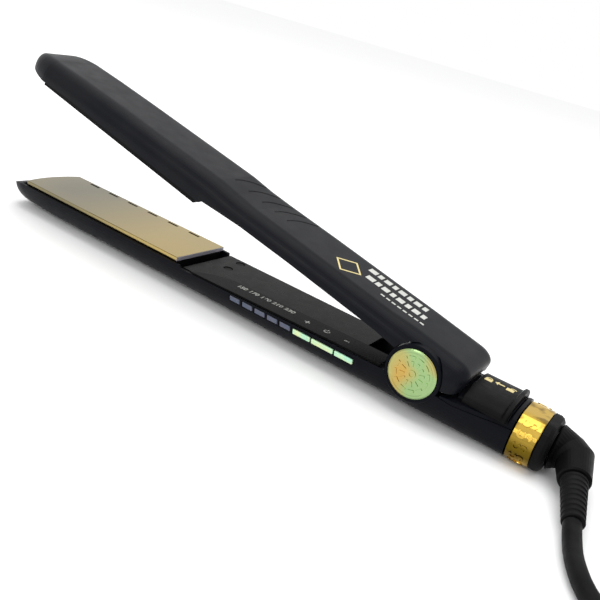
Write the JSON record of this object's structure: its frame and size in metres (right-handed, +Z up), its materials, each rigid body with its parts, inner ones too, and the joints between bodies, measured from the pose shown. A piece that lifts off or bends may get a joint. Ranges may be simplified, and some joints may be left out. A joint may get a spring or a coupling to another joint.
{
  "type": "hair straightening iron",
  "caption": "Black hair straightening iron held open, with long gold plates, a gold pivot cap and trim ring, side buttons, a lock slider and a swivel cord put away in a coil.",
  "frame": {"origin": "on the surface that the iron rests on, straight under the middle of the hinge axis", "axes": "+X along the lower arm towards the cord, +Z up, +Y away from the side with the buttons"},
  "size_m": [0.4828, 0.1257, 0.0891],
  "materials": {
    "shell": "satin black",
    "gloss": "semi-gloss black",
    "dark": "fine matte black",
    "rubber": "matt",
    "plate": "gold coloured coating, polished",
    "gold": "polished gold plating",
    "button": "pearly mint",
    "window": "translucent smoke",
    "steel": "plain",
    "brass": "plain",
    "ceramic": "matt white",
    "board": "solder mask",
    "lead": "silicone sleeve"
  },
  "bodies": {
    "lower_arm": {"lower_housing": "shell", "neck_cover": "shell", "control_strip": "gloss", "lower_inner_panel": "gloss", "lower_panel_screw_1": "dark", "lower_panel_screw_2": "dark", "lower_plate_carrier": "dark", "end_cap": "dark", "cord_tie": "dark", "power_cord": "rubber", "cord_tail": "rubber", "cord_coil": "rubber", "plug_body": "rubber", "lower_plate": "plate", "pivot_cap_near": "gold", "pivot_cap_far": "gold", "trim_ring": "gold", "lamp_window_1": "window", "lamp_window_2": "window", "lamp_window_3": "window", "lamp_window_4": "window", "lamp_window_5": "window", "hinge_pin": "steel", "opening_spring": "steel", "switch_plus": "steel", "switch_power": "steel", "switch_minus": "steel", "lower_sensor": "brass", "plug_blade_1": "brass", "plug_blade_2": "brass", "lower_heater": "ceramic", "circuit_board": "board", "mains_lead_live": "lead", "mains_lead_neutral": "lead", "lower_heater_lead": "lead"},
    "upper_arm": {"upper_housing": "shell", "upper_inner_cover": "gloss", "hinge_frame": "dark", "hinge_bush_near": "brass", "hinge_bush_far": "brass", "frame_screw_1": "steel", "frame_screw_2": "steel", "upper_panel_screw_1": "dark", "upper_panel_screw_2": "dark", "float_spring_1": "steel", "float_spring_2": "steel", "upper_heater_lead": "lead"},
    "floating_plate": {"upper_plate": "plate", "upper_plate_carrier": "dark", "upper_heater": "ceramic", "upper_sensor": "brass"},
    "slider": {"lock_slider": "dark"},
    "swivel": {"cord_elbow": "dark", "swivel_collar": "steel", "strain_relief": "rubber"},
    "key_plus": {"button_plus": "button"},
    "key_power": {"button_power": "button"},
    "key_minus": {"button_minus": "button"}
  },
  "joints": [
    {"name": "upper_arm_hinge", "type": "hinge", "parent": "lower_arm", "child": "upper_arm", "pos_m": [0, 0, 0.021], "axis": [0, 1, 0], "range_deg": [-12.66, 0], "stiffness_Nm_per_rad": 0.6, "springref_deg": 34.38},
    {"name": "upper_plate_float", "type": "slide", "parent": "upper_arm", "child": "floating_plate", "axis": [0.2192, 0, 0.9757], "range_m": [0, 0.0008], "stiffness_N_per_m": 1500, "springref_m": -0.001},
    {"name": "lock_slider_travel", "type": "slide", "parent": "lower_arm", "child": "slider", "axis": [1, 0, 0], "range_m": [-0.005, 0]},
    {"name": "cord_swivel", "type": "hinge", "parent": "lower_arm", "child": "swivel", "pos_m": [0.0615, 0, 0.011], "axis": [1, 0, 0], "range_deg": [-90, 90]},
    {"name": "press_plus", "type": "slide", "parent": "lower_arm", "child": "key_plus", "axis": [0, 1, 0], "range_m": [0, 0.0006], "stiffness_N_per_m": 1000, "springref_m": -0.0008},
    {"name": "press_power", "type": "slide", "parent": "lower_arm", "child": "key_power", "axis": [0, 1, 0], "range_m": [0, 0.0006], "stiffness_N_per_m": 1000, "springref_m": -0.0008},
    {"name": "press_minus", "type": "slide", "parent": "lower_arm", "child": "key_minus", "axis": [0, 1, 0], "range_m": [0, 0.0006], "stiffness_N_per_m": 1000, "springref_m": -0.0008}
  ]
}
